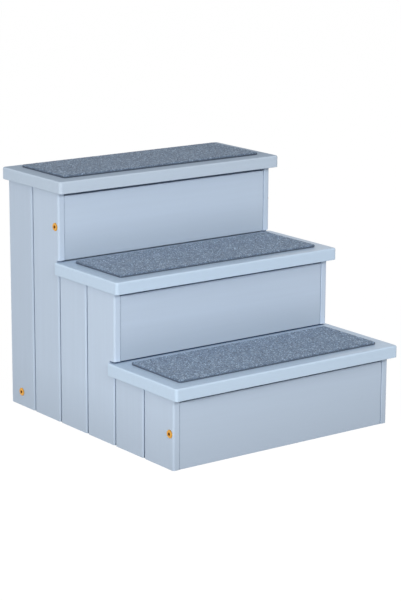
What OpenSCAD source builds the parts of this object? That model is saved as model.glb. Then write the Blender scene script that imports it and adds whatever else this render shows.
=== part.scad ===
// Three-step pet stairs: two grooved side panels, three risers, three carpeted treads,
// a rear rail, and the cleats, screws and dowels that hold them together.
// X runs along the treads, the steps climb towards +Y, and the floor is z = 0.

/* [Stair] */
// Width over the outer faces of the two side panels
stair_width = 450; // [320:10:700]
// Height of each step, from one tread top to the next
step_rise = 140; // [110:1:200]
// Depth of each step, from one riser line to the next
step_going = 164.5; // [130:0.5:260]
// How much shallower the side panels are in the top step
top_step_trim = 6; // [0:0.5:12]

/* [Side panels] */
// Thickness of a side panel
panel_thickness = 12; // [10:1:18]
// Grooved boards in the depth of one step
boards_per_step = 2; // [1:1:4]
// Width of the V groove between two boards, at the face
groove_width = 8; // [4:0.5:10]
// Depth of the V groove's bevels
groove_bevel_depth = 1.75; // [1:0.25:3]
// Width of the slot along the bottom of the V groove
groove_slot_width = 2.5; // [1:0.5:3.5]
// Depth of that slot, from the face
groove_slot_depth = 6; // [3.5:0.25:6]
// Rounding of the panel's outer upright edges
panel_edge_radius = 3.5; // [1:0.5:6]
// Rounding of the panel's inner upright edges at the front
panel_inner_radius = 1; // [0.5:0.5:3]

/* [Treads] */
// Thickness of a tread
tread_thickness = 21; // [15:1:30]
// Overhang of a tread past the front edges of the side panels
front_overhang = 17; // [5:1:30]
// Overhang of a tread past the outer face of each side panel
side_overhang = 7; // [3:0.5:20]
// How far the bottom tread runs back past the front of the middle step
bottom_tread_tuck = 13; // [4:1:20]
// How far the middle tread runs back past the front of the top step
middle_tread_tuck = 6; // [4:1:16]
// How far the top tread runs back past the side panels
top_tread_tuck = 9; // [4:1:16]
// Gap between a tread and the end of its slot in the side panels
slot_end_gap = 1; // [0.5:0.5:2]
// Rounding of a tread's corners, seen from above
tread_corner_radius = 5; // [4:0.5:15]
// Rounding of a tread's top edge
tread_top_radius = 3; // [1:0.5:4]
// Rounding of a tread's bottom edge
tread_bottom_radius = 1; // [0.5:0.5:3]

/* [Risers] */
// Thickness of a riser
riser_thickness = 18; // [15:1:21]
// Setback of a riser behind the front edges of the side panels
riser_recess = 1; // [0.5:0.5:8]
// Rounding of a riser's upright edges at the front
riser_end_radius = 1; // [0.5:0.5:2]
// Width of the narrow rebate at the front of a riser's ends, beside the side panels
riser_rebate_width = 0.4; // [0.2:0.1:0.8]
// Depth of that rebate
riser_rebate_depth = 4; // [2:0.5:5]
// Gap between the bottom riser's top edge and its tread
bottom_riser_top_gap = 8; // [1:0.5:10]
// Gap between an upper riser's top edge and its tread
upper_riser_top_gap = 7; // [1:0.5:10]
// Gap under the upper steps, between a tread and what stands over it
riser_foot_gap = 2.5; // [0.5:0.5:4]
// Thickness of the tongue along the foot of an upper riser's back
riser_tongue_thickness = 4.5; // [3:0.5:6]
// How far the tongue laps down behind a tread that ends in front of it
riser_lap = 10; // [4:1:16]

/* [Carpets] */
// Thickness of a carpet pad
carpet_thickness = 4; // [3:0.5:12]
// Bare margin of the tread in front of its carpet and at both ends
carpet_margin = 25.5; // [16:0.5:50]
// Gap between the lower carpets and the line where their steps end at the back
carpet_back_gap = 19; // [14:1:30]
// Rounding of a carpet's corners, seen from above
carpet_corner_radius = 4; // [3:0.5:20]
// Rounding of a carpet's top edge
carpet_top_radius = 2; // [1:0.5:2]
// Rounding of a carpet's bottom edge
carpet_bottom_radius = 0.5; // [0.1:0.1:0.5]

/* [Cleats and rear rail] */
// Width of a cleat
cleat_width = 18; // [15:1:30]
// Height of a cleat
cleat_height = 18; // [15:1:30]
// Setback of a cleat's rear end from the end of the shallowest step
cleat_end_gap = 6; // [2:1:20]
// Thickness of the rear rail
rail_thickness = 18; // [12:1:25]
// Height of the rear rail
rail_height = 50; // [30:1:80]
// Setback of the rear rail from the back edges of the side panels
rail_setback = 25; // [5:1:40]

/* [Side screws] */
// Diameter of the head
side_head_diameter = 14; // [11:0.5:16]
// Thickness of the head
side_head_thickness = 2.6; // [2:0.1:4]
// Bevel round the rim of the head
side_head_bevel = 0.8; // [0.3:0.1:1.2]
// How deep the head sits in its counterbore
side_head_sink = 1; // [0.5:0.1:2]
// Width across the flats of the socket
side_socket_width = 5; // [4:0.5:6]
// Depth of the socket
side_socket_depth = 3.4; // [2:0.2:5]
// Diameter of the shank
side_shank_diameter = 6; // [5:0.5:7]
// Length of the shank under the head
side_shank_length = 46; // [35:1:60]

/* [Cleat screws and dowels] */
// Diameter of a countersunk screw's head
wood_head_diameter = 7.6; // [6:0.2:9]
// Height of the countersunk head
wood_head_height = 2.2; // [1.5:0.1:3]
// Diameter of a countersunk screw's shank
wood_shank_diameter = 4; // [3:0.5:4.5]
// Length of the screws from a cleat into its side panel
panel_screw_reach = 7; // [4:0.5:8]
// Length of the screws from a cleat into its riser
riser_screw_reach = 8; // [4:0.5:8]
// Length of the screws from a cleat up into its tread
tread_screw_reach = 12; // [6:0.5:13]
// Diameter of a dowel
dowel_diameter = 6; // [4:0.5:7]
// Depth of a dowel in the side panel
dowel_panel_reach = 8; // [5:0.5:9]
// Depth of a dowel in the riser
dowel_riser_reach = 16; // [10:1:30]
// Radial clearance of a shank, head or dowel in its hole
hole_clearance = 0.1; // [0.05:0.05:0.2]
// Space past the end of a shank or dowel in a blind hole
hole_end_gap = 0.5; // [0.2:0.1:1]

/* [Hidden] */

// Every cut runs this far past the face that it opens
overrun = 1;
$fn = 48;

// The steps are numbered from the bottom, and the sides have opposite signs
step_count = 3;
bottom_index = 0;
middle_index = 1;
top_index = 2;
left_sign = -1;
right_sign = 1;

stair_depth = step_count * step_going - top_step_trim;
inner_width = stair_width - 2 * panel_thickness;
board_pitch = step_going / boards_per_step;
// The origin is under the middle of the whole stair, so the front edges of the panels lie here
front_y = -(stair_depth + top_tread_tuck - front_overhang) / 2;

tread_width = stair_width + 2 * side_overhang;
carpet_width = tread_width - 2 * carpet_margin;
// The three carpets are equal
carpet_depth = front_overhang + step_going - carpet_margin - carpet_back_gap;

// Each tread has a cleat along its riser, and one along each side panel behind that
riser_cleat_front = riser_recess + riser_thickness;
side_cleat_front = riser_cleat_front + cleat_width;
side_cleat_length = step_going - top_step_trim - side_cleat_front - cleat_end_gap;
// Depth of a side screw's hole in the end of a riser or of the rail
side_screw_depth = side_shank_length + side_head_sink - panel_thickness + hole_end_gap;
// Places of the screws along a side cleat and along a riser cleat, and of the dowels up the
// middle riser
panel_screw_shares = [0.14, 0.86];
tread_screw_shares = [0.34, 0.66];
cross_riser_screw_shares = [0.08, 0.5, 0.92];
cross_tread_screw_shares = [0.25, 0.75];
dowel_shares = [0.25, 0.75];

// Values that differ from step to step, from the bottom up
tread_tucks = [bottom_tread_tuck, middle_tread_tuck, top_tread_tuck];
riser_top_gaps = [bottom_riser_top_gap, upper_riser_top_gap, upper_riser_top_gap];

// Depths of a step and of its tread
function step_depth(step) = step_going - (step == top_index ? top_step_trim : 0);
function tread_depth(step) = front_overhang + step_depth(step) + tread_tucks[step];

// Heights of the faces of a step
function tread_top(step) = (step + 1) * step_rise;
function tread_under(step) = tread_top(step) - tread_thickness;
function step_floor(step) = step == bottom_index ? 0 : tread_top(step - 1) + riser_foot_gap;
function riser_top(step) = tread_under(step) - riser_top_gaps[step];
function riser_middle(step) = (step * step_rise + tread_under(step)) / 2;

// Distance of a riser's tongue from the front of its step, and height of the tongue's foot: it
// laps down behind the tread under it where that ends in front of it, and stands on the tread or
// on the floor where it doesn't
tongue_front = riser_recess + riser_thickness - riser_tongue_thickness;
function laps_behind(step) = step > bottom_index && tread_tucks[step - 1] + slot_end_gap < tongue_front;
function tongue_foot(step) = step * step_rise - (laps_behind(step) ? riser_lap : 0);

// Places of the side screws on a panel, as distance from its front edge and height
side_screw_places = [
    [riser_recess + riser_thickness / 2, riser_middle(bottom_index)],
    [top_index * step_going + riser_recess + riser_thickness / 2, riser_middle(top_index)],
    [stair_depth - rail_setback - rail_thickness / 2, rail_height / 2]
];

// Places of the dowels on a panel
dowel_places = [
    for (share = dowel_shares) [
        middle_index * step_going + riser_recess + riser_thickness / 2,
        step_floor(middle_index) + share * (riser_top(middle_index) - step_floor(middle_index))
    ]
];

// Distance of a point along a side cleat from the front edge of the stair
function along_cleat(step, share) = step * step_going + side_cleat_front + share * side_cleat_length;

// Place of a point along a riser cleat
function across(share) = (share - 0.5) * inner_width;

// Outline of a side panel, as depth and height, with a slot for the back of each lower tread
function panel_outline() = concat(
    [[0, 0], [stair_depth, 0], [stair_depth, tread_under(top_index)]],
    [
        for (step = [top_index : -1 : middle_index], corner = [
            [step * step_going, tread_under(step)],
            [step * step_going, step_floor(step)],
            [step * step_going + tread_tucks[step - 1] + slot_end_gap, step_floor(step)],
            [step * step_going + tread_tucks[step - 1] + slot_end_gap, tread_under(step - 1)]
        ]) corner
    ],
    [[0, tread_under(bottom_index)]]
);

// A hole along +X that starts an overrun before x = 0
module hole_x(radius, depth) {
    translate([-overrun, 0, 0])
        rotate([0, 90, 0])
            cylinder(r = radius, h = depth + overrun);
}

// The corner that is cut away to round an upright edge; the edge is the Z axis and the
// material lies towards +X and +Y
module upright_edge_cut(radius, height) {
    difference() {
        translate([-overrun, -overrun, 0])
            cube([radius + overrun, radius + overrun, height]);
        translate([radius, radius, -overrun])
            cylinder(r = radius, h = height + 2 * overrun);
    }
}

// Groove between two boards, cut into the face x = 0 and running up the Z axis
module board_groove(height) {
    translate([0, 0, -overrun])
        linear_extrude(height = height + 2 * overrun) {
            polygon([
                [-overrun, -groove_width / 2],
                [0, -groove_width / 2],
                [groove_bevel_depth, -groove_slot_width / 2],
                [groove_bevel_depth, groove_slot_width / 2],
                [0, groove_width / 2],
                [-overrun, groove_width / 2]
            ]);
            translate([0, -groove_slot_width / 2])
                square([groove_slot_depth, groove_slot_width]);
        }
}

// Left-hand side panel with its outer face at x = 0 and its front edge at y = 0
module side_panel() {
    difference() {
        rotate([90, 0, 90])
            linear_extrude(height = panel_thickness)
                polygon(panel_outline());
        for (board = [1 : step_count * boards_per_step - 1])
            translate([0, board * board_pitch, 0])
                board_groove(tread_under(ceil(board / boards_per_step) - 1));
        for (step = [bottom_index : top_index]) {
            edge_height = tread_under(step) - step_floor(step) + 2 * overrun;
            translate([0, step * step_going, step_floor(step) - overrun]) {
                upright_edge_cut(panel_edge_radius, edge_height);
                translate([panel_thickness, 0, 0])
                    mirror([1, 0, 0])
                        upright_edge_cut(panel_inner_radius, edge_height);
            }
        }
        translate([0, stair_depth, -overrun])
            mirror([0, 1, 0])
                upright_edge_cut(panel_edge_radius, tread_under(top_index) + 2 * overrun);
        for (place = side_screw_places)
            translate([0, place[0], place[1]]) {
                hole_x(side_shank_diameter / 2 + hole_clearance, panel_thickness + overrun);
                hole_x(side_head_diameter / 2 + hole_clearance, side_head_sink);
            }
        for (place = dowel_places)
            translate([panel_thickness, place[0], place[1]])
                mirror([1, 0, 0])
                    hole_x(dowel_diameter / 2 + hole_clearance, dowel_panel_reach + hole_end_gap);
        for (step = [bottom_index : top_index], share = panel_screw_shares)
            translate([panel_thickness, along_cleat(step, share), tread_under(step) - cleat_height / 2])
                mirror([1, 0, 0])
                    hole_x(wood_shank_diameter / 2 + hole_clearance, panel_screw_reach + hole_end_gap);
    }
}

// Puts a left-hand piece, drawn from the panel's outer face inwards, on either side
module on_side(side) {
    mirror([side == right_sign ? 1 : 0, 0, 0])
        translate([-stair_width / 2, front_y, 0])
            children();
}

// Board between the side panels with its section given as depth and height, and with a hole in
// each end at every place in end_holes
module cross_board(end_holes, hole_radius, hole_depth) {
    difference() {
        translate([-inner_width / 2, front_y, 0])
            rotate([90, 0, 90])
                linear_extrude(height = inner_width)
                    children();
        for (side = [left_sign, right_sign], place = end_holes)
            on_side(side)
                translate([panel_thickness, place[0], place[1]])
                    hole_x(hole_radius, hole_depth);
    }
}

// What is cut from an upright front edge of a riser: a narrow rebate beside the panel, and the
// rounding of the edge that it leaves
module riser_end_cut(height) {
    translate([-overrun, -overrun, 0])
        cube([riser_rebate_width + overrun, riser_rebate_depth + overrun, height]);
    translate([riser_rebate_width, 0, 0])
        upright_edge_cut(riser_end_radius, height);
}

// Section through a riser and its tongue
module riser_section(step) {
    translate([step * step_going + riser_recess, step_floor(step)])
        square([riser_thickness, riser_top(step) - step_floor(step)]);
    translate([step * step_going + tongue_front, tongue_foot(step)])
        square([riser_tongue_thickness, riser_top(step) - tongue_foot(step)]);
}

// Board that closes the front of a step, with holes in its ends and for the screws of its cleat
module riser(step, end_holes, hole_radius, hole_depth) {
    color("#b4c4d5")
        difference() {
            cross_board(end_holes, hole_radius, hole_depth)
                riser_section(step);
            for (side = [left_sign, right_sign])
                on_side(side)
                    translate([
                        panel_thickness,
                        step * step_going + riser_recess,
                        step_floor(step) - overrun
                    ])
                        riser_end_cut(riser_top(step) - step_floor(step) + 2 * overrun);
            for (share = cross_riser_screw_shares)
                at_riser_screw(step, share)
                    translate([cleat_width, 0, 0])
                        hole_x(wood_shank_diameter / 2 + hole_clearance, riser_screw_reach + hole_end_gap);
        }
}

// Section through the rounded rim of a slab, with the rim at x = reach
module rim_section(reach, height, top_radius, bottom_radius) {
    intersection() {
        union() {
            square([reach - top_radius, height]);
            square([reach - bottom_radius, height - top_radius]);
            translate([0, bottom_radius])
                square([reach, height - top_radius - bottom_radius]);
            translate([reach - top_radius, height - top_radius])
                circle(r = top_radius);
            translate([reach - bottom_radius, bottom_radius])
                circle(r = bottom_radius);
        }
        square([reach, height]);
    }
}

// Slab with rounded corners and softened edges, centred on x = 0 and y = 0
module rounded_slab(width, depth, height, corner_radius, top_radius, bottom_radius) {
    inner_x = width / 2 - corner_radius;
    inner_y = depth / 2 - corner_radius;
    translate([-inner_x, -inner_y, 0])
        cube([2 * inner_x, 2 * inner_y, height]);
    for (turn = [0, 180])
        rotate([0, 0, turn]) {
            translate([inner_x, inner_y, 0])
                rotate([90, 0, 0])
                    linear_extrude(height = 2 * inner_y)
                        rim_section(corner_radius, height, top_radius, bottom_radius);
            translate([-inner_x, inner_y, 0])
                rotate([90, 0, 90])
                    linear_extrude(height = 2 * inner_x)
                        rim_section(corner_radius, height, top_radius, bottom_radius);
            translate([inner_x, inner_y, 0])
                rotate_extrude(angle = 90)
                    rim_section(corner_radius, height, top_radius, bottom_radius);
            translate([-inner_x, inner_y, 0])
                rotate([0, 0, 90])
                    rotate_extrude(angle = 90)
                        rim_section(corner_radius, height, top_radius, bottom_radius);
        }
}

// Moves a piece of that depth, centred on y = 0, to a place behind the front edge of a tread
module on_tread(step, setback, depth, z) {
    translate([0, front_y + step * step_going - front_overhang + setback + depth / 2, z])
        children();
}

module tread(step) {
    color("#bccfe4")
        difference() {
            on_tread(step, 0, tread_depth(step), tread_under(step))
                rounded_slab(
                    tread_width, tread_depth(step), tread_thickness,
                    tread_corner_radius, tread_top_radius, tread_bottom_radius
                );
            at_tread_screws(step)
                translate([cleat_height, 0, 0])
                    hole_x(wood_shank_diameter / 2 + hole_clearance, tread_screw_reach + hole_end_gap);
        }
}

module carpet(step) {
    color("#73808f")
        on_tread(step, carpet_margin, carpet_depth, tread_top(step))
            rounded_slab(
                carpet_width, carpet_depth, carpet_thickness,
                carpet_corner_radius, carpet_top_radius, carpet_bottom_radius
            );
}

// Countersunk screw, or the hole that it needs; the head's face is at x = 0 and it points along +X
module wood_screw(reach, clearance, end_gap) {
    rotate([0, 90, 0]) {
        cylinder(r = wood_shank_diameter / 2 + clearance, h = reach + end_gap);
        cylinder(
            r1 = wood_head_diameter / 2 + clearance, r2 = wood_shank_diameter / 2 + clearance,
            h = wood_head_height
        );
    }
}

// Puts a piece that points along +X at each screw from a cleat into its side panel
module at_panel_screws(step) {
    for (share = panel_screw_shares)
        translate([
            panel_thickness + cleat_width,
            along_cleat(step, share),
            tread_under(step) - cleat_height / 2
        ])
            mirror([1, 0, 0])
                children();
}

// Puts a piece that points along +X at a screw from a riser cleat into its riser, with the
// screw as high as the middle of the face where the two meet
module at_riser_screw(step, share) {
    translate([
        across(share),
        front_y + step * step_going + riser_cleat_front + cleat_width,
        (tread_under(step) - cleat_height + riser_top(step)) / 2
    ])
        rotate([0, 0, -90])
            children();
}

// Puts a piece that points along +X at each screw from the cleats up into their tread
module at_tread_screws(step) {
    for (side = [left_sign, right_sign], share = tread_screw_shares)
        on_side(side)
            translate([
                panel_thickness + cleat_width / 2,
                along_cleat(step, share),
                tread_under(step) - cleat_height
            ])
                rotate([0, -90, 0])
                    children();
    for (share = cross_tread_screw_shares)
        translate([
            across(share),
            front_y + step * step_going + riser_cleat_front + cleat_width / 2,
            tread_under(step) - cleat_height
        ])
            rotate([0, -90, 0])
                children();
}

module side_cleat(side, step) {
    color("#a9b8c9")
        difference() {
            on_side(side)
                difference() {
                    translate([panel_thickness, along_cleat(step, 0), tread_under(step) - cleat_height])
                        cube([cleat_width, side_cleat_length, cleat_height]);
                    at_panel_screws(step)
                        wood_screw(cleat_width + overrun, hole_clearance, 0);
                }
            at_tread_screws(step)
                wood_screw(cleat_height + overrun, hole_clearance, 0);
        }
}

module riser_cleat(step) {
    color("#a9b8c9")
        difference() {
            translate([
                -inner_width / 2,
                front_y + step * step_going + riser_cleat_front,
                tread_under(step) - cleat_height
            ])
                cube([inner_width, cleat_width, cleat_height]);
            for (share = cross_riser_screw_shares)
                at_riser_screw(step, share)
                    wood_screw(cleat_width + overrun, hole_clearance, 0);
            at_tread_screws(step)
                wood_screw(cleat_height + overrun, hole_clearance, 0);
        }
}

// Brass screw with a round socket head; the head's seat is at x = 0 and the shank points along +X
module side_screw() {
    rotate([0, 90, 0])
        difference() {
            union() {
                cylinder(r = side_shank_diameter / 2, h = side_shank_length);
                translate([0, 0, -side_head_thickness])
                    cylinder(
                        r1 = side_head_diameter / 2 - side_head_bevel,
                        r2 = side_head_diameter / 2,
                        h = side_head_bevel
                    );
                translate([0, 0, side_head_bevel - side_head_thickness])
                    cylinder(r = side_head_diameter / 2, h = side_head_thickness - side_head_bevel);
            }
            translate([0, 0, -side_head_thickness - overrun])
                cylinder(d = side_socket_width / cos(30), h = side_socket_depth + overrun, $fn = 6);
        }
}

module side_screws(side) {
    color("#d7a045")
        on_side(side)
            for (place = side_screw_places)
                translate([side_head_sink, place[0], place[1]])
                    side_screw();
}

module left_side_panel() {
    color("#b9cadb")
        on_side(left_sign)
            side_panel();
}

module right_side_panel() {
    color("#b9cadb")
        on_side(right_sign)
            side_panel();
}

module bottom_riser() {
    riser(bottom_index, [side_screw_places[0]], side_shank_diameter / 2 + hole_clearance, side_screw_depth);
}

module middle_riser() {
    riser(middle_index, dowel_places, dowel_diameter / 2 + hole_clearance, dowel_riser_reach + hole_end_gap);
}

module top_riser() {
    riser(top_index, [side_screw_places[1]], side_shank_diameter / 2 + hole_clearance, side_screw_depth);
}

module rear_rail() {
    color("#aebdce")
        cross_board(
            [side_screw_places[2]], side_shank_diameter / 2 + hole_clearance, side_screw_depth
        )
            translate([stair_depth - rail_setback - rail_thickness, 0])
                square([rail_thickness, rail_height]);
}

module cleat_panel_screws() {
    color("#c9c9c4")
        for (side = [left_sign, right_sign], step = [bottom_index : top_index])
            on_side(side)
                at_panel_screws(step)
                    wood_screw(cleat_width + panel_screw_reach, 0, 0);
}

module cleat_tread_screws() {
    color("#c9c9c4")
        for (step = [bottom_index : top_index])
            at_tread_screws(step)
                wood_screw(cleat_height + tread_screw_reach, 0, 0);
}

module cleat_riser_screws() {
    color("#c9c9c4")
        for (step = [bottom_index : top_index], share = cross_riser_screw_shares)
            at_riser_screw(step, share)
                wood_screw(cleat_width + riser_screw_reach, 0, 0);
}

module riser_dowels() {
    color("#d8c3a0")
        for (side = [left_sign, right_sign], place = dowel_places)
            on_side(side)
                translate([panel_thickness - dowel_panel_reach, place[0], place[1]])
                    rotate([0, 90, 0])
                        cylinder(d = dowel_diameter, h = dowel_panel_reach + dowel_riser_reach);
}

left_side_panel();
right_side_panel();
bottom_riser();
middle_riser();
top_riser();
tread(bottom_index);  // bottom_tread
tread(middle_index);  // middle_tread
tread(top_index);  // top_tread
carpet(bottom_index);  // bottom_carpet
carpet(middle_index);  // middle_carpet
carpet(top_index);  // top_carpet
side_cleat(left_sign, bottom_index);  // left_bottom_cleat
side_cleat(left_sign, middle_index);  // left_middle_cleat
side_cleat(left_sign, top_index);  // left_top_cleat
side_cleat(right_sign, bottom_index);  // right_bottom_cleat
side_cleat(right_sign, middle_index);  // right_middle_cleat
side_cleat(right_sign, top_index);  // right_top_cleat
riser_cleat(bottom_index);  // bottom_riser_cleat
riser_cleat(middle_index);  // middle_riser_cleat
riser_cleat(top_index);  // top_riser_cleat
rear_rail();
side_screws(left_sign);  // left_side_screws
side_screws(right_sign);  // right_side_screws
cleat_panel_screws();
cleat_tread_screws();
cleat_riser_screws();
riser_dowels();
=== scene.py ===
"""Pet stairs: painted wood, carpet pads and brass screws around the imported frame."""

import math

import bpy
import numpy as np
from mathutils import Matrix, Vector


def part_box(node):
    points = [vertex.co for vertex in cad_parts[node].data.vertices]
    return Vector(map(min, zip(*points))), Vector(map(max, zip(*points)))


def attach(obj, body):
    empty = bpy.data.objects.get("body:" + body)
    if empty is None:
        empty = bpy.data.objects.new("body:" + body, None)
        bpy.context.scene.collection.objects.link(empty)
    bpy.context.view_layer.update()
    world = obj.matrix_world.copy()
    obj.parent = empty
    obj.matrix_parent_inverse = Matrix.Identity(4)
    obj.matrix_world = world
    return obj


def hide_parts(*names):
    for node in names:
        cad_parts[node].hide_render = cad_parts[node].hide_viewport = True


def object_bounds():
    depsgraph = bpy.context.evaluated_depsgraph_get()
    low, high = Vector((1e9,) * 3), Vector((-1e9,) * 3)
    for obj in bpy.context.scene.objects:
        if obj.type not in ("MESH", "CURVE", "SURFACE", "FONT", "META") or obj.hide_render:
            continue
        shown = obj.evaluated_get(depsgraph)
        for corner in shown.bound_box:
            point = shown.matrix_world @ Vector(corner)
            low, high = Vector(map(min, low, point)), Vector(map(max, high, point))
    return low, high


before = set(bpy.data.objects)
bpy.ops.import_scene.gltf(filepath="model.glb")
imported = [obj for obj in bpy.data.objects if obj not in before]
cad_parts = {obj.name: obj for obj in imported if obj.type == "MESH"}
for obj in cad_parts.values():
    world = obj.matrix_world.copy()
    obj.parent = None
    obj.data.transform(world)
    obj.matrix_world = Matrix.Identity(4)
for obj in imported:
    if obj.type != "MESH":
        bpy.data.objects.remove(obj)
cad_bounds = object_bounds()

MM = 0.001
BODY = "root"
STEPS = ("bottom", "middle", "top")

# The camera, where the photograph was taken from: place in metres, angles in degrees
CAMERA_PLACE = (-2.0600, -2.7738, 1.0401)
CAMERA_AZIMUTH = -36.676
CAMERA_ELEVATION = 13.663
CAMERA_ROLL = 0.253
# Focal length and width of the sensor in millimetres, and how far the camera sees in metres
CAMERA_LENS = 123.85
CAMERA_SENSOR = 36
CAMERA_RANGE = 50

# Base colours, linear
PANEL_PAINT = (0.466, 0.556, 0.674)
TREAD_PAINT = (0.496, 0.616, 0.752)
# the colour of the painted shade at the pile's root
PILE_ROOT_SHADE = (0.076, 0.098, 0.134)
PILE_DARK = (0.076, 0.110, 0.165)
PILE_MID = (0.186, 0.268, 0.386)
PILE_LIGHT = (0.436, 0.560, 0.720)
PILE_WARM = (0.390, 0.375, 0.350)
BACKING = (0.048, 0.062, 0.088)
BRASS = (0.780, 0.400, 0.075)
STEEL = (0.560, 0.560, 0.550)
BARE_WOOD = (0.600, 0.430, 0.260)
FLOOR_PAINT = (0.24, 0.24, 0.24)
WHITE = (1.0, 1.0, 1.0)

# The sky: its level overhead, what the horizon adds to it, and the sine of the angle above the
# horizon over which that fades
SKY = 0.38
HORIZON_GAIN = 0.74
HORIZON_HEIGHT = 0.7
# The softboxes' distance and size in metres, and the azimuth, elevation and power of each, in
# degrees and watts
LAMP_DISTANCE = 4.0
LAMP_SIZE = (1.6, 0.7)
FRONT_LAMP = (-15, 25, 64)
LEFT_LAMP = (-70, 14, 71)
# The floor: half its width in metres, how much of it shows as plain white and how white that is,
# over the share that takes shadows
FLOOR_HALF = 6.0
FLOOR_WHITE_SHARE = 0.78
FLOOR_WHITE_LEVEL = 1.245

# Lowest and highest roughness of the paint on the boards and on the treads
SATIN = (0.42, 0.54)
SHINY = (0.26, 0.36)
# How much the paint reflects; the trodden top tread has gone matt
BOARD_SPECULAR = 0.5
TREAD_SPECULARS = (0.3, 0.3, 0.0)
# How light each tread is in red, green and blue, from the bottom to the top; the top one is painted
# darker and greyer as painted shade
TREAD_TONES = ((1.03, 1.03, 1.03), (1.01, 1.01, 1.01), (0.955, 0.908, 0.878))
# How many boards of a side panel make a step, and how light each board is, from front to back
BOARDS_PER_STEP = 2
BOARD_TONES = (1.03, 1.02, 1.07, 1.05, 1.01, 0.95)

# The grain and the streaks in it: how many times their coordinates are stretched across the
# grain and along it, and the scale of each noise in them
GRAIN_ACROSS = 110.0
GRAIN_ALONG = 4.0
GRAIN_SCALE = 4.0
STREAK_SCALE = 1.3
# How fine and how rough the grain's noise is
GRAIN_DETAIL = 6.0
GRAIN_ROUGHNESS = 0.62
# Scales of the noise that has no grain, and how much orange peel is added to the relief
MOTTLE_SCALE = 9.0
PEEL_SCALE = 700.0
PEEL_SHARE = 0.3
# How dark and light the streaks are, and how far the mottle hides them
STREAK_DARK = 0.975
STREAK_LIGHT = 1.015
MOTTLE_SHARE = 0.6

# Which part of a noise's range makes the whole change from one tone to the other
WIDE_SPAN = (0.3, 0.7)
NARROW_SPAN = (0.35, 0.65)

# Painted highlight on the edges: how light it is and how far in it reaches, and how alike the bent
# and the flat normal are on the edge of a panel's board, on the edge of a plank and on a flat face
PAINTED_EDGE_HIGHLIGHT = 1.18
EDGE_REACH = 1.5 * MM
BOARD_EDGE = 0.90
PLANK_EDGE = 0.75
FLAT_FACE = 0.99
EDGE_SAMPLES = 4
# The bevel of the sawn boards, and the angle in degrees above which an edge gets it
EDGE_SOFTENING = 0.45 * MM
SOFTENING_SEGMENTS = 2
SOFTENED_ANGLE = 50

# How near the walls of a joint are where shade is painted into its paint: in the panels' grooves,
# at the risers from the bottom to the top, and on the treads
GROOVE_REACH = 4.5 * MM
GAP_REACHES = (5.2 * MM, 5.2 * MM, 3.8 * MM)
TREAD_REACH = 6.8 * MM
# How open a joint is where its painted shade is full and where there is none, and what is left of
# the paint under the painted shade in the panels' grooves and in all other joints
JOINT_OPENNESS = (0.2, 0.55)
JOINT_SAMPLES = 8
PAINTED_GROOVE_SHADE = (0.52, 0.60, 0.68)
PAINTED_GAP_SHADE = (0.03, 0.12, 0.30)
# The same painted shade for the sockets of the screws
SOCKET_REACH = 4.0 * MM
PAINTED_SOCKET_SHADE = 0.12
# How high above its foot a board gets painted shade, darker towards the foot, and what is left of
# its paint at the foot
PAINTED_FLOOR_SHADE = (90 * MM, (0.88, 0.88, 0.88))
PAINTED_STEP_SHADE = (62 * MM, (0.75, 0.76, 0.76))
# The upward part of a face's normal where painted shade on upper faces begins and where it is full,
# and what is left of the paint under it
UPPER_FACE = (0.8, 0.98)
PAINTED_TOP_SHADE = (0.87, 0.89, 0.92)

# The backing of a carpet: its thickness under the pile, how many times that it is tall, so that
# it reaches into the pile, how far it is set in, and its fibres
BACKING_THICKNESS = 0.8 * MM
BACKING_OVERLAP = 1.5
BACKING_INSET = 1.0 * MM
FELT_SCALE = 700.0
FELT_LIGHTER = 1.8
# How far the pile stands over the pressed pad of the CAD, and its tufts
PILE_SPRING = 1.0 * MM
PILE_VOXEL = 0.9 * MM
TUFT_PITCH = 2.3 * MM
TUFT_HEIGHT = 0.9 * MM
TUFT_SEED = 11
# Where in its cell a tuft stands, and how far it reaches, in cells
TUFT_MARGIN = 0.15
TUFT_PLAY = 0.7
TUFT_REACH = 0.75
# The rim of the pile: how far in it slopes and by how much, and how far its outline wanders and
# over what length
RIM_REACH = 5.0 * MM
RIM_DROP = 1.0 * MM
RIM_WANDER = 0.9 * MM
RIM_PITCH = 4.5 * MM
# The heights between which painted shade darkens the pile to its root, and how far they scatter
ROOT_HEIGHT = 2.4 * MM
TIP_HEIGHT = 5.4 * MM
ROOT_SCATTER = 2.6 * MM
# How light each carpet is, from the bottom to the top; the top one is darker as painted shade
PILE_TONES = (1.23, 1.20, 1.07)
# How dull the pile and its backing are, and what the pile reflects
CARPET_ROUGHNESS = 0.95
PILE_SPECULAR = 0.05
PILE_SHEEN = 0.10
SHEEN_ROUGHNESS = 0.5
# The width of a tuft of one colour, and its fibres and patches and how strong they are
FIBRE_PITCH = 1.75 * MM
FIBRE_SCALE = 1100.0
FIBRE_ROUGHNESS = 0.7
FIBRE_SHARE = 0.35
PATCH_SCALE = 60.0
PATCH_SHARE = 0.06
# The chances of a tuft at which it begins to turn mid, pale or warm and at which it has turned,
# and how far it turns
MID_CHANCES = (0.15, 0.85)
PALE_CHANCES = (0.62, 0.95)
PALE_SHARE = 0.9
WARM_CHANCES = (0.95, 1.0)
WARM_SHARE = 0.45

# Metals: roughness, scratches and stains
BRASS_ROUGHNESS = 0.22
ZINC_ROUGHNESS = 0.35
SCRATCH_SCALE = 900.0
SCRATCH_STRETCH = (1.0, 1.0, 6.0)
SCRATCH_DETAIL = 4.0
SCRATCH_ROUGHNESS = (0.8, 1.3)
STAIN_SCALE = 180.0
STAIN_SPAN = (0.35, 0.7)
STAIN_SHADE = 0.82

# The dowels' bare wood
DOWEL_STRETCH = (6.0, 160.0, 160.0)
DOWEL_SCALE = 4.0
DOWEL_DETAIL = 5.0
DOWEL_ROUGHNESS = 0.7
DOWEL_SHADE = 0.62

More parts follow.
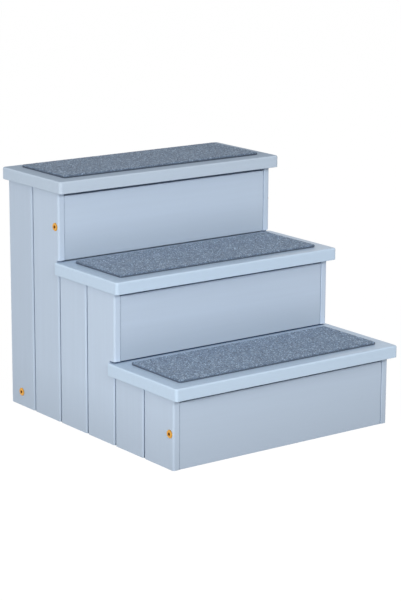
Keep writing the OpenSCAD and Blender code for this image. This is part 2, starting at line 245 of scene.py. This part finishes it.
# Strength and depth of each surface's fine relief
PAINT_RELIEF = (0.11, 0.2 * MM)
PILE_RELIEF = (0.6, 0.4 * MM)
FELT_RELIEF = (0.5, 0.2 * MM)
METAL_RELIEF = (0.08, 0.05 * MM)
DOWEL_RELIEF = (0.4, 0.2 * MM)

# A usual spatial hash, which turns the number of a cell into a chance
HASH_PRIMES = (73856093, 19349663, 83492791)
HASH_SEED = 2654435761
HASH_FACTOR = 1274126177
HASH_SHIFT = 13
HASH_MASK = 0x7FFFFFFF
HASH_CHANCES = 100003


# Node trees


def node(tree, kind, inputs=None, **settings):
    """Adds a node, sets its settings and its unlinked inputs, and links the rest."""
    made = tree.nodes.new(kind)
    for key, value in settings.items():
        setattr(made, key, value)
    for key, value in (inputs or {}).items():
        if isinstance(value, bpy.types.NodeSocket):
            tree.links.new(value, made.inputs[key])
        else:
            made.inputs[key].default_value = value
    return made


def maths(tree, operation, *values):
    """One step of arithmetic on sockets and numbers."""
    return node(
        tree, "ShaderNodeMath", dict(enumerate(values)), operation=operation).outputs[0]


def between(tree, value, low, high, out_low, out_high):
    """Maps low..high to out_low..out_high, clamped."""
    return node(
        tree, "ShaderNodeMapRange",
        {"Value": value, "From Min": low, "From Max": high, "To Min": out_low, "To Max": out_high},
    ).outputs[0]


def noise(tree, vector, scale, detail=3.0, roughness=0.5):
    return node(
        tree, "ShaderNodeTexNoise",
        {"Vector": vector, "Scale": scale, "Detail": detail, "Roughness": roughness},
    ).outputs["Fac"]


def object_place(tree, stretch=(1.0, 1.0, 1.0), shift=None):
    """Coordinates in metres in the row frame, shifted and then stretched along each axis."""
    place = node(tree, "ShaderNodeTexCoord").outputs["Object"]
    if shift is not None:
        place = node(tree, "ShaderNodeVectorMath", {0: place, 1: shift}, operation="ADD").outputs[0]
    return node(tree, "ShaderNodeMapping", {"Vector": place, "Scale": stretch}).outputs[0]


def object_axis(tree, axis):
    """How far a point lies along one axis of the row frame, in metres."""
    place = node(tree, "ShaderNodeTexCoord").outputs["Object"]
    return node(tree, "ShaderNodeSeparateXYZ", {0: place}).outputs[axis]


def colour(rgb):
    return (*rgb, 1.0)


def scaled(base, factor):
    """The colour made darker, or lighter up to white."""
    return tuple(min(1.0, factor * part) for part in base)


def shaded(base, shade):
    """What is left of the colour under a shade for red, green and blue."""
    return tuple(part * share for part, share in zip(base, shade))


def blend_colours(tree, factor, first, second):
    made = node(tree, "ShaderNodeMix", data_type="RGBA")
    for socket, value in ((0, factor), (6, first), (7, second)):
        if isinstance(value, bpy.types.NodeSocket):
            tree.links.new(value, made.inputs[socket])
        else:
            made.inputs[socket].default_value = colour(value) if socket else value
    return made.outputs[2]


def two_tone(tree, pattern, span, first, second):
    """Turns from the first colour to the second where the pattern crosses the span."""
    return blend_colours(tree, between(tree, pattern, *span, 0.0, 1.0), first, second)


def new_material(name, **shader_values):
    material = bpy.data.materials.new(name)
    material.use_nodes = True
    tree = material.node_tree
    shader = tree.nodes["Principled BSDF"]
    for key, value in shader_values.items():
        shader.inputs[key.replace("_", " ")].default_value = value
    return material, tree, shader


def roughen(tree, shader, height, strength, depth):
    """Gives the surface a fine relief, without moving it."""
    bump = node(tree, "ShaderNodeBump", {"Height": height, "Strength": strength, "Distance": depth})
    tree.links.new(bump.outputs[0], shader.inputs["Normal"])


# Places on a board


def board_number(tree):
    """Which board of a side panel a point is on, counted from the front."""
    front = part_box("left_side_panel")[0].y
    step_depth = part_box("middle_riser")[0].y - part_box("bottom_riser")[0].y
    depth = maths(tree, "ADD", object_axis(tree, "Y"), -front)
    return maths(tree, "FLOOR", maths(tree, "DIVIDE", depth, step_depth / BOARDS_PER_STEP))


def board_tone(tree):
    """How light the board is that a point is on."""
    number = board_number(tree)
    total = 0.0
    for board, tone in enumerate(BOARD_TONES):
        here = maths(tree, "COMPARE", number, board, 0.5)
        total = maths(tree, "MULTIPLY_ADD", here, tone, total)
    return total


def painted_shade_mask(tree, reach):
    """Where shade is painted: 1 deep in a gap or a groove and 0 on open faces, wherever the point is
    looked at from.
    """
    openness = node(
        tree, "ShaderNodeAmbientOcclusion", {"Distance": reach}, samples=JOINT_SAMPLES,
    ).outputs["AO"]
    return between(tree, openness, *JOINT_OPENNESS, 1.0, 0.0)


def painted_highlight_mask(tree, sharpest):
    """Where a highlight is painted: 1 on a board's edges, where the normal bends to sharpest, and 0
    a little way from them.
    """
    bent = node(tree, "ShaderNodeBevel", {"Radius": EDGE_REACH}, samples=EDGE_SAMPLES).outputs[0]
    flat = node(tree, "ShaderNodeNewGeometry").outputs["True Normal"]
    likeness = node(
        tree, "ShaderNodeVectorMath", {0: bent, 1: flat}, operation="DOT_PRODUCT",
    ).outputs["Value"]
    return between(tree, likeness, sharpest, FLAT_FACE, 1.0, 0.0)


def near_foot(tree, foot, height):
    """1 up to the level of a board's foot and 0 from that height above it."""
    return between(tree, object_axis(tree, "Z"), foot, foot + height, 1.0, 0.0)


def upward(tree):
    """1 on level upper faces and 0 on all others."""
    normal = node(tree, "ShaderNodeNewGeometry").outputs["Normal"]
    up = node(tree, "ShaderNodeSeparateXYZ", {0: normal}).outputs["Z"]
    return between(tree, up, *UPPER_FACE, 0.0, 1.0)


# Materials


def grain_place(tree, along, boards):
    """Coordinates drawn out along the grain; on a side panel each board has its own."""
    stretch = [GRAIN_ACROSS, GRAIN_ACROSS, GRAIN_ACROSS]
    stretch["XYZ".index(along)] = GRAIN_ALONG
    shift = None
    if boards:
        shift = node(
            tree, "ShaderNodeTexWhiteNoise", {"W": board_number(tree)}, noise_dimensions="1D",
        ).outputs["Color"]
    return object_place(tree, stretch, shift)


def fresh_paint(tree, base, place, boards):
    """Paint with faint streaks along the grain, mottled and in the tone of its board."""
    streaks = noise(tree, place, STREAK_SCALE)
    mottle = noise(tree, object_place(tree), MOTTLE_SCALE)
    paint = two_tone(tree, streaks, WIDE_SPAN, scaled(base, STREAK_DARK), scaled(base, STREAK_LIGHT))
    hidden = between(tree, mottle, *WIDE_SPAN, 0.0, MOTTLE_SHARE)
    paint = blend_colours(tree, hidden, paint, base)
    if boards:
        paint = node(
            tree, "ShaderNodeVectorMath", {0: paint, "Scale": board_tone(tree)}, operation="SCALE",
        ).outputs[0]
    return paint


def paint_with_painted_light(tree, base, paint, boards, foot, foot_shade):
    """The paint with a painted highlight on its edges, painted shade at its foot and on its upper
    faces.
    """
    # painted highlight on the edges
    edges = painted_highlight_mask(tree, BOARD_EDGE if boards else PLANK_EDGE)
    paint = blend_colours(tree, edges, paint, scaled(base, PAINTED_EDGE_HIGHLIGHT))
    # painted shade, darker towards the board's foot
    height, shade = foot_shade
    paint = blend_colours(tree, near_foot(tree, foot, height), paint, shaded(base, shade))
    # painted shade on upper faces
    return blend_colours(tree, upward(tree), paint, shaded(base, PAINTED_TOP_SHADE))


def painted_wood(
        name, base, along, roughness, specular, joint_reach, boards=False,
        foot=0.0, foot_shade=PAINTED_FLOOR_SHADE):
    """Paint over wood whose grain runs along that axis; roughness is its lowest and highest."""
    material, tree, shader = new_material(name, Specular_IOR_Level=specular)
    place = grain_place(tree, along, boards)
    paint = fresh_paint(tree, base, place, boards)
    paint = paint_with_painted_light(tree, base, paint, boards, foot, foot_shade)
    # painted shade in joints and gaps: the paint is darkened there and its reflection taken out
    joints = painted_shade_mask(tree, joint_reach)
    painted_joint_shade = PAINTED_GROOVE_SHADE if boards else PAINTED_GAP_SHADE
    paint = blend_colours(tree, joints, paint, shaded(base, painted_joint_shade))
    tree.links.new(paint, shader.inputs["Base Color"])
    if specular:
        shine = between(tree, joints, 0.0, 1.0, specular, 0.0)
        tree.links.new(shine, shader.inputs["Specular IOR Level"])

    grain = noise(tree, place, GRAIN_SCALE, GRAIN_DETAIL, GRAIN_ROUGHNESS)
    tree.links.new(between(tree, grain, *WIDE_SPAN, *roughness), shader.inputs["Roughness"])
    orange_peel = noise(tree, object_place(tree), PEEL_SCALE, detail=1.0)
    roughen(
        tree, shader, maths(tree, "MULTIPLY_ADD", orange_peel, PEEL_SHARE, grain), *PAINT_RELIEF)
    return material


def tuft_colour(tree, place, chances, fibres, tone):
    """Each tuft's own mix of dark, mid, light and a few warm fibres."""
    dark, mid, light, warm = (
        scaled(rgb, tone) for rgb in (PILE_DARK, PILE_MID, PILE_LIGHT, PILE_WARM))
    patches = noise(tree, place, PATCH_SCALE)
    pile = two_tone(tree, chances[0], MID_CHANCES, dark, mid)
    for chance, span, share, other in (
            (chances[1], PALE_CHANCES, PALE_SHARE, light),
            (chances[2], WARM_CHANCES, WARM_SHARE, warm),
            (fibres, NARROW_SPAN, FIBRE_SHARE, mid),
            (patches, NARROW_SPAN, PATCH_SHARE, dark)):
        pile = blend_colours(tree, between(tree, chance, *span, 0.0, share), pile, other)
    return pile


def painted_root_shade(tree, chance):
    """Where shade is painted into the pile: 1 at its root and 0 at its tip, on every step, scattered
    by chance.
    """
    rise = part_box("middle_tread")[1].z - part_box("bottom_tread")[1].z
    above_tread = maths(tree, "MODULO", object_axis(tree, "Z"), rise)
    scatter = between(tree, chance, 0.0, 1.0, -ROOT_SCATTER / 2, ROOT_SCATTER / 2)
    level = maths(tree, "ADD", above_tread, scatter)
    return between(tree, level, ROOT_HEIGHT, TIP_HEIGHT, 1.0, 0.0)


def carpet_pile(name, tone):
    """Heathered cut pile with painted shade towards its root."""
    material, tree, shader = new_material(
        name, Roughness=CARPET_ROUGHNESS, Sheen_Weight=PILE_SHEEN, Sheen_Roughness=SHEEN_ROUGHNESS,
        Specular_IOR_Level=PILE_SPECULAR)
    place = object_place(tree)
    tufts = node(tree, "ShaderNodeTexVoronoi", {"Vector": place, "Scale": 1 / FIBRE_PITCH})
    chances = node(tree, "ShaderNodeSeparateColor", {0: tufts.outputs["Color"]}).outputs
    fibres = noise(tree, place, FIBRE_SCALE, roughness=FIBRE_ROUGHNESS)
    pile = tuft_colour(tree, place, chances, fibres, tone)
    # painted shade towards the pile's root
    pile = blend_colours(tree, painted_root_shade(tree, chances[2]), pile, scaled(PILE_ROOT_SHADE, tone))
    tree.links.new(pile, shader.inputs["Base Color"])
    roughen(tree, shader, fibres, *PILE_RELIEF)
    return material


def felt_backing():
    material, tree, shader = new_material("carpet_backing", Roughness=CARPET_ROUGHNESS)
    fibres = noise(tree, object_place(tree), FELT_SCALE)
    felt = two_tone(tree, fibres, NARROW_SPAN, BACKING, scaled(BACKING, FELT_LIGHTER))
    tree.links.new(felt, shader.inputs["Base Color"])
    roughen(tree, shader, fibres, *FELT_RELIEF)
    return material


def metal(name, base, roughness):
    """Turned or plated metal with faint scratches, a slightly uneven tone and painted shade in its
    sockets.
    """
    material, tree, shader = new_material(name, Metallic=1.0)
    stains = noise(tree, object_place(tree), STAIN_SCALE)
    tone = two_tone(tree, stains, STAIN_SPAN, base, scaled(base, STAIN_SHADE))
    # painted shade in the sockets
    tone = blend_colours(
        tree, painted_shade_mask(tree, SOCKET_REACH), tone, scaled(base, PAINTED_SOCKET_SHADE))
    tree.links.new(tone, shader.inputs["Base Color"])
    scratches = noise(
        tree, object_place(tree, SCRATCH_STRETCH), SCRATCH_SCALE, detail=SCRATCH_DETAIL)
    smoothest, roughest = (roughness * share for share in SCRATCH_ROUGHNESS)
    rough = between(tree, scratches, *WIDE_SPAN, smoothest, roughest)
    tree.links.new(rough, shader.inputs["Roughness"])
    roughen(tree, shader, scratches, *METAL_RELIEF)
    return material


def bare_wood():
    material, tree, shader = new_material("bare_wood", Roughness=DOWEL_ROUGHNESS)
    grain = noise(tree, object_place(tree, DOWEL_STRETCH), DOWEL_SCALE, detail=DOWEL_DETAIL)
    wood = two_tone(tree, grain, NARROW_SPAN, BARE_WOOD, scaled(BARE_WOOD, DOWEL_SHADE))
    tree.links.new(wood, shader.inputs["Base Color"])
    roughen(tree, shader, grain, *DOWEL_RELIEF)
    return material


def coat(piece, material):
    """Gives the piece this material and no other."""
    piece.data.materials.clear()
    piece.data.materials.append(material)


# CAD nodes that keep their shape


def dress(name, material):
    coat(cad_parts[name], material)


def soften_edges(name):
    """Takes the sharpness off a board's sawn edges."""
    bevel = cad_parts[name].modifiers.new("soft_edges", "BEVEL")
    bevel.width = EDGE_SOFTENING
    bevel.segments = SOFTENING_SEGMENTS
    bevel.limit_method = "ANGLE"
    bevel.angle_limit = math.radians(SOFTENED_ANGLE)
    bevel.use_clamp_overlap = True
    bevel.harden_normals = True


# Carpet pads


def new_piece(name, mesh):
    piece = bpy.data.objects.new(name, mesh)
    bpy.context.scene.collection.objects.link(piece)
    return piece


def vertex_values(source, mesh, name):
    """A vector for every vertex of the mesh, read from its vertices or their normals."""
    values = np.empty(len(mesh.vertices) * 3)
    source.foreach_get(name, values)
    return values.reshape(-1, 3)


def move_vertices(mesh, places):
    mesh.vertices.foreach_set("co", places.ravel())
    mesh.update()


def slab_mesh(name, source, low, high):
    """The source mesh, a rounded slab, stretched to fill the box from low to high."""
    mesh = source.data.copy()
    mesh.name = name
    places = vertex_values(mesh.vertices, mesh, "co")
    was_low, was_high = places.min(0), places.max(0)
    size = np.array(high) - np.array(low)
    move_vertices(mesh, np.array(low) + (places - was_low) * size / (was_high - was_low))
    return mesh


def remesh_evenly(piece):
    """Gives the piece faces of one small size all over."""
    remesh = piece.modifiers.new("even", "REMESH")
    remesh.mode = "VOXEL"
    remesh.voxel_size = PILE_VOXEL
    evaluated = piece.evaluated_get(bpy.context.evaluated_depsgraph_get())
    mesh = bpy.data.meshes.new_from_object(evaluated)
    piece.modifiers.clear()
    piece.data = mesh


def tuft_relief(points, pitch, seed):
    """How far each point stands proud, 0 to 1: a dome over every one of a jittered grid of tufts."""
    cells = np.floor(points / pitch).astype(np.int64)
    nearest = np.full(len(points), np.inf)
    for offset in np.ndindex(3, 3, 3):
        cell = cells + np.array(offset) - 1
        mixed = cell @ np.array(HASH_PRIMES) + seed * HASH_SEED
        jitter = np.empty_like(points)
        for axis in range(3):
            mixed = (mixed ^ (mixed >> HASH_SHIFT)) * HASH_FACTOR & HASH_MASK
            jitter[:, axis] = (mixed % HASH_CHANCES) / HASH_CHANCES
        centre = (cell + TUFT_MARGIN + TUFT_PLAY * jitter) * pitch
        nearest = np.minimum(nearest, ((points - centre) ** 2).sum(1))
    reach = TUFT_REACH * pitch
    return np.sqrt(np.clip(1 - nearest / reach ** 2, 0, 1))


def raise_tufts(mesh, low, high, seed):
    """Raises tufts all over the pile, slopes its rim down and lets its outline wander."""
    places = vertex_values(mesh.vertices, mesh, "co")
    normals = vertex_values(mesh.vertex_normals, mesh, "vector")
    relief = tuft_relief(places, TUFT_PITCH, seed)
    wander = tuft_relief(places, RIM_PITCH, seed + len(STEPS))
    sideways = np.hypot(normals[:, 0], normals[:, 1])
    from_left_and_front = places[:, :2] - np.array(low)[:2]
    from_right_and_back = np.array(high)[:2] - places[:, :2]
    from_rim = np.minimum(from_left_and_front, from_right_and_back).min(1)
    slope = np.clip(1 - from_rim / RIM_REACH, 0, 1) ** 2
    upper = np.clip((places[:, 2] - low.z) / (high.z - low.z), 0, 1)
    places += normals * ((relief - 0.5) * TUFT_HEIGHT)[:, None]
    places -= normals * (sideways * (1 - wander) * RIM_WANDER)[:, None]
    places[:, 2] -= slope * upper * RIM_DROP
    move_vertices(mesh, places)


def carpet_pad(step, pile_material, backing_material):
    """Pile over a thinner, darker backing that is set in a little all round."""
    solid = f"{step}_carpet"
    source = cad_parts[solid]
    low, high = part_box(solid)

    inset = Vector((BACKING_INSET, BACKING_INSET, 0))
    backing_top = Vector((high.x, high.y, low.z + BACKING_OVERLAP * BACKING_THICKNESS))
    backing_mesh = slab_mesh(f"{step}_backing", source, low + inset, backing_top - inset)
    backing = new_piece(f"{step}_carpet_backing", backing_mesh)
    coat(backing, backing_material)

    lift = Vector((0, 0, BACKING_THICKNESS))
    spring = Vector((0, 0, PILE_SPRING))
    room = Vector((TUFT_HEIGHT, TUFT_HEIGHT, TUFT_HEIGHT)) / 2
    pile_mesh = slab_mesh(f"{step}_pile", source, low + lift + room, high + spring - room)
    pile = new_piece(f"{step}_carpet_pile", pile_mesh)
    remesh_evenly(pile)
    raise_tufts(pile.data, low, high, TUFT_SEED + STEPS.index(step))
    coat(pile, pile_material)
    pile.data.shade_smooth()

    for piece in (pile, backing):
        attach(piece, BODY)
        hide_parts(solid)


# Floor, light and camera


def looked_at(tree):
    """1 where the camera, a reflection or a refraction looks, and 0 for all other light."""
    seen = node(tree, "ShaderNodeLightPath").outputs
    shown = maths(tree, "MAXIMUM", seen["Is Camera Ray"], seen["Is Glossy Ray"])
    return maths(tree, "MAXIMUM", shown, seen["Is Transmission Ray"])


def floor():
    """A floor that looks white and still takes the object's shadow."""
    mesh = bpy.data.meshes.new("floor")
    corners = [(-1, -1), (1, -1), (1, 1), (-1, 1)]
    mesh.from_pydata(
        [(x * FLOOR_HALF, y * FLOOR_HALF, 0) for x, y in corners], [], [(0, 1, 2, 3)])
    ground = new_piece("floor", mesh)
    material = bpy.data.materials.new("floor")
    material.use_nodes = True
    tree = material.node_tree
    tree.nodes.clear()
    share = maths(tree, "MULTIPLY", looked_at(tree), FLOOR_WHITE_SHARE)
    lit = node(tree, "ShaderNodeBsdfDiffuse", {"Color": colour(FLOOR_PAINT)})
    white = node(
        tree, "ShaderNodeEmission", {"Color": colour(WHITE), "Strength": FLOOR_WHITE_LEVEL})
    mixed = node(
        tree, "ShaderNodeMixShader", {0: share, 1: lit.outputs[0], 2: white.outputs[0]})
    node(tree, "ShaderNodeOutputMaterial", {"Surface": mixed.outputs[0]})
    mesh.materials.append(material)


def studio_world():
    """Soft light from the sky, and plain white wherever the camera or a reflection looks."""
    world = bpy.data.worlds.new("studio")
    bpy.context.scene.world = world
    world.use_nodes = True
    tree = world.node_tree
    tree.nodes.clear()
    toward = node(tree, "ShaderNodeTexCoord").outputs["Generated"]
    height = node(tree, "ShaderNodeSeparateXYZ", {0: toward}).outputs["Z"]
    lit = between(tree, height, 0.0, HORIZON_HEIGHT, SKY + HORIZON_GAIN, SKY)
    level = node(tree, "ShaderNodeMix", {0: looked_at(tree), 2: lit, 3: 1.0}).outputs[0]
    sky = node(tree, "ShaderNodeBackground", {"Color": colour(WHITE), "Strength": level})
    node(tree, "ShaderNodeOutputWorld", {"Surface": sky.outputs[0]})


def direction(azimuth, elevation):
    """Unit vector from the object towards that azimuth and elevation, in degrees."""
    turned, raised = math.radians(azimuth), math.radians(elevation)
    return Vector((
        math.sin(turned) * math.cos(raised),
        -math.cos(turned) * math.cos(raised),
        math.sin(raised)))


def softbox(name, azimuth, elevation, power, aim):
    light = bpy.data.lights.new(name, "AREA")
    light.shape = "RECTANGLE"
    light.size, light.size_y = LAMP_SIZE
    light.energy = power
    lamp = new_piece(name, light)
    back = direction(azimuth, elevation)
    lamp.location = aim + back * LAMP_DISTANCE
    lamp.rotation_euler = back.to_track_quat("Z", "Y").to_euler()
    lamp.visible_camera = False
    lamp.visible_glossy = False


def photograph_camera():
    data = bpy.data.cameras.new("camera")
    data.sensor_width = CAMERA_SENSOR
    data.lens = CAMERA_LENS
    data.clip_end = CAMERA_RANGE
    camera = new_piece("camera", data)
    camera.matrix_world = (
        Matrix.Translation(CAMERA_PLACE)
        @ Matrix.Rotation(math.radians(CAMERA_AZIMUTH), 4, "Z")
        @ Matrix.Rotation(math.radians(90 - CAMERA_ELEVATION), 4, "X")
        @ Matrix.Rotation(math.radians(CAMERA_ROLL), 4, "Z")
    )
    bpy.context.scene.camera = camera


# The scene

photograph_camera()
bpy.context.scene.view_settings.view_transform = "Standard"
floor()
studio_world()
middle = (cad_bounds[0] + cad_bounds[1]) / 2
softbox("front_light", *FRONT_LAMP, middle)
softbox("left_light", *LEFT_LAMP, middle)

panel_paint = painted_wood(
    "panel_paint", PANEL_PAINT, "Z", SATIN, BOARD_SPECULAR, GROOVE_REACH, boards=True)
rail_paint = painted_wood("rail_paint", PANEL_PAINT, "X", SATIN, BOARD_SPECULAR, GAP_REACHES[0])
cleat_paint = painted_wood("cleat_paint", PANEL_PAINT, "Y", SATIN, BOARD_SPECULAR, GAP_REACHES[0])
brass = metal("brass", BRASS, BRASS_ROUGHNESS)
zinc = metal("zinc_steel", STEEL, ZINC_ROUGHNESS)
backing_material = felt_backing()

for side in ("left", "right"):
    dress(f"{side}_side_panel", panel_paint)
    dress(f"{side}_side_screws", brass)
    soften_edges(f"{side}_side_panel")
    for step in STEPS:
        dress(f"{side}_{step}_cleat", cleat_paint)
        soften_edges(f"{side}_{step}_cleat")
for step, tone, specular in zip(STEPS, TREAD_TONES, TREAD_SPECULARS):
    tread_paint = painted_wood(
        f"{step}_tread_paint", shaded(TREAD_PAINT, tone), "X", SHINY, specular, TREAD_REACH)
    dress(f"{step}_tread", tread_paint)
for step, tone in zip(STEPS, PILE_TONES):
    carpet_pad(step, carpet_pile(f"{step}_carpet_pile", tone), backing_material)
# painted shade low on the risers: above the floor on the bottom one, above the tread below on the
# others
foot, foot_shade = 0.0, PAINTED_FLOOR_SHADE
for step, reach in zip(STEPS, GAP_REACHES):
    riser_paint = painted_wood(
        f"{step}_riser_paint", PANEL_PAINT, "X", SATIN, BOARD_SPECULAR, reach,
        foot=foot, foot_shade=foot_shade)
    for board in (f"{step}_riser", f"{step}_riser_cleat"):
        dress(board, riser_paint)
        soften_edges(board)
    foot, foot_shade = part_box(f"{step}_tread")[1].z, PAINTED_STEP_SHADE
dress("rear_rail", rail_paint)
soften_edges("rear_rail")
for screws in ("cleat_panel_screws", "cleat_tread_screws", "cleat_riser_screws"):
    dress(screws, zinc)
dress("riser_dowels", bare_wood())
